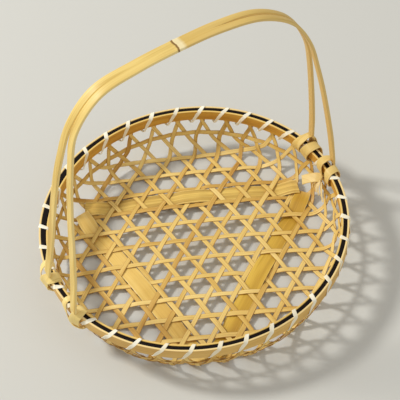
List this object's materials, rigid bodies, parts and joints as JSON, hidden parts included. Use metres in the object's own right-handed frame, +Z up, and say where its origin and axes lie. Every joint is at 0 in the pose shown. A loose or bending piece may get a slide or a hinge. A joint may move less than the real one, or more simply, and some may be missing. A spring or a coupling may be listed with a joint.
{
  "type": "tempura basket",
  "caption": "Shallow round bamboo basket of open hexagon weave, with three base slats, a laced hoop rim and an arched split-leg handle tied to the rim.",
  "frame": {"origin": "on the surface that the basket stands on, under its centre", "axes": "+Z up, X along the plane of the handle, +X towards the right-hand legs in the picture"},
  "size_m": [0.2174, 0.2112, 0.2059],
  "materials": {
    "weave": "satin natural bamboo strips, fine lengthwise grain",
    "slat": "satin natural bamboo slats, fine lengthwise grain",
    "hoop_inner": "satin honey-brown bamboo",
    "hoop_outer": "satin tan bamboo",
    "filler": "dark brown cane, slightly glossy",
    "lacing": "pale ivory split cane, satin",
    "handle": "pale straw bamboo, smooth skin, satin"
  },
  "bodies": {
    "root": {"weave_a_01": "weave", "weave_a_02": "weave", "weave_a_03": "weave", "weave_a_04": "weave", "weave_a_05": "weave", "weave_a_06": "weave", "weave_a_07": "weave", "weave_a_08": "weave", "weave_a_09": "weave", "weave_a_10": "weave", "weave_a_11": "weave", "weave_a_12": "weave", "weave_b_01": "weave", "weave_b_02": "weave", "weave_b_03": "weave", "weave_b_04": "weave", "weave_b_05": "weave", "weave_b_06": "weave", "weave_b_07": "weave", "weave_b_08": "weave", "weave_b_09": "weave", "weave_b_10": "weave", "weave_b_11": "weave", "weave_b_12": "weave", "weave_c_01": "weave", "weave_c_02": "weave", "weave_c_03": "weave", "weave_c_04": "weave", "weave_c_05": "weave", "weave_c_06": "weave", "weave_c_07": "weave", "weave_c_08": "weave", "weave_c_09": "weave", "weave_c_10": "weave", "weave_c_11": "weave", "weave_c_12": "weave", "base_slat_back": "slat", "base_slat_left": "slat", "base_slat_right": "slat", "wall_ring_strip": "weave", "inner_hoop": "hoop_inner", "outer_hoop": "hoop_outer", "rim_filler": "filler", "rim_lacing": "lacing", "handle": "handle"}
  },
  "joints": []
}
